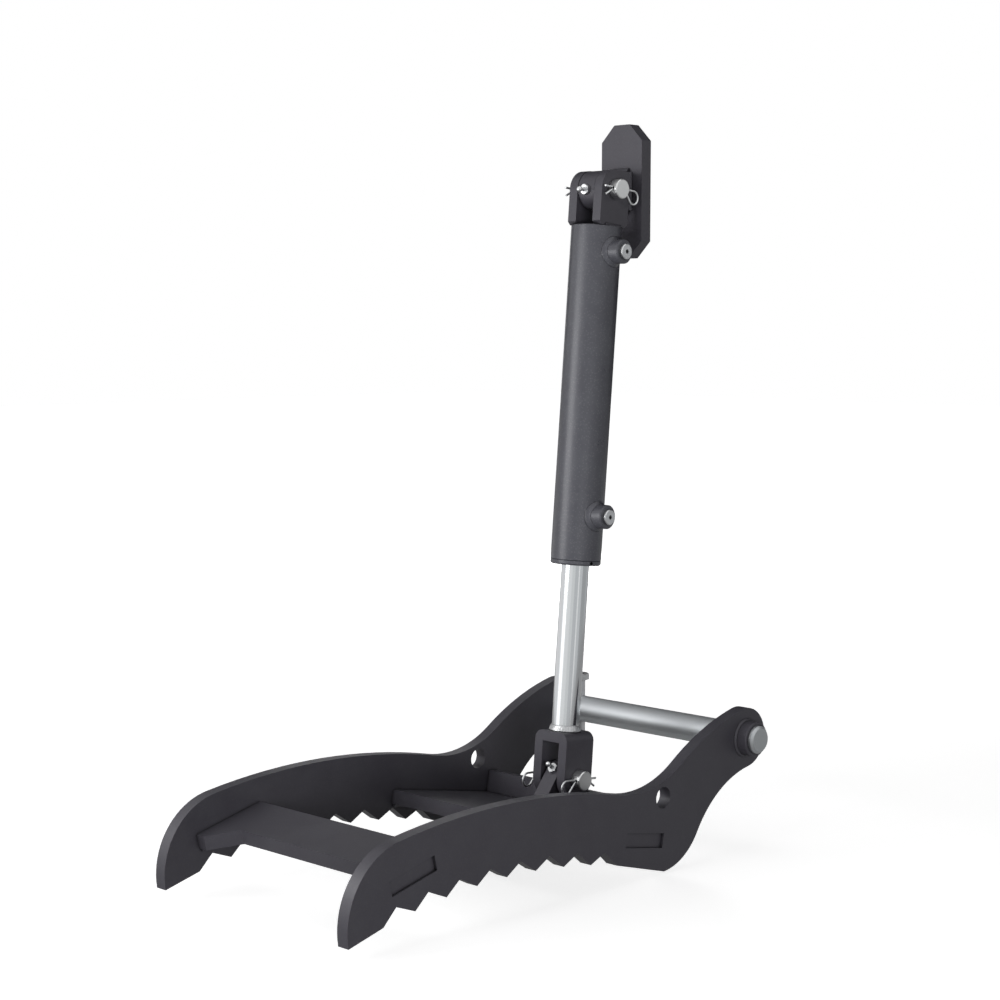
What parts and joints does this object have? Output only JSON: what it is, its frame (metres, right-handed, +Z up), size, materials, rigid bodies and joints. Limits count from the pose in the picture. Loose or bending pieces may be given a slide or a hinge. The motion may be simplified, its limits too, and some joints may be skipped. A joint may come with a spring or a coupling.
{
  "type": "hydraulic thumb",
  "caption": "Toothed two-plate excavator thumb on a cross pin, swung by a hydraulic cylinder whose upper end is pinned to a weld-on plate.",
  "frame": {"origin": "on the main pivot pin's axis, midway between the side plates", "axes": "+X to the rear, away from the tooth tips; +Y along the main pin, to the far side plate; +Z up along the upright mounting plate"},
  "size_m": [0.8044, 0.435, 1.0434],
  "materials": {
    "dark_paint": "satin charcoal paint",
    "pin_steel": "bright turned steel",
    "zinc": "bright zinc plate",
    "chrome": "polished hard chrome",
    "weld": "bare weld bead",
    "inner_steel": "machined, oiled",
    "seal": "black nitrile and polyurethane",
    "guide_ring": "phenolic wear ring",
    "bronze": "greased bronze"
  },
  "bodies": {
    "pivot_pin": {"main_pin": "pin_steel", "cross_bolt": "zinc", "cross_nut": "zinc"},
    "thumb": {"side_plate_near": "dark_paint", "side_plate_far": "dark_paint", "front_crosspiece": "dark_paint", "rear_crosspiece": "dark_paint", "upright_bar": "dark_paint", "thumb_lug": "dark_paint", "thumb_lug_bush": "bronze", "thumb_lug_nipple": "zinc", "pivot_boss_near": "dark_paint", "pivot_boss_far": "dark_paint"},
    "rod": {"rod_fork": "dark_paint", "piston_rod": "chrome", "rod_weld": "weld", "piston": "inner_steel", "piston_seal": "seal", "piston_wear_rings": "guide_ring", "piston_nut": "inner_steel", "rod_pin": "pin_steel", "rod_pin_cotters": "zinc"},
    "barrel": {"barrel_tube": "dark_paint", "base_cap": "dark_paint", "gland": "dark_paint", "rod_seal": "seal", "wiper": "seal", "gland_seal": "seal", "ear_far": "dark_paint", "ear_near": "dark_paint", "port_boss_upper": "dark_paint", "port_boss_lower": "dark_paint", "port_plug_upper": "zinc", "port_plug_lower": "zinc", "base_pin": "pin_steel", "base_pin_cotters": "zinc"},
    "stick_mount": {"mounting_plate": "dark_paint", "mounting_lug": "dark_paint", "mounting_lug_bush": "bronze", "mounting_lug_nipple": "zinc"}
  },
  "joints": [
    {"name": "main_pivot", "type": "hinge", "parent": "pivot_pin", "child": "thumb", "pos_m": [0, 0, 0], "axis": [0, 1, 0], "range_deg": [-48, 70]},
    {"name": "rod_pivot", "type": "hinge", "parent": "thumb", "child": "rod", "pos_m": [-0.1835, 0, -0.0578], "axis": [0, 1, 0], "range_deg": [-75, 42]},
    {"name": "rod_slide", "type": "slide", "parent": "rod", "child": "barrel", "axis": [0.0864, 0, 0.9963], "range_m": [-0.2145, 0.1145]},
    {"name": "base_pivot", "type": "hinge", "parent": "barrel", "child": "stick_mount", "pos_m": [-0.1104, 0, 0.7852], "axis": [0, 1, 0], "range_deg": [-20, 10]}
  ]
}
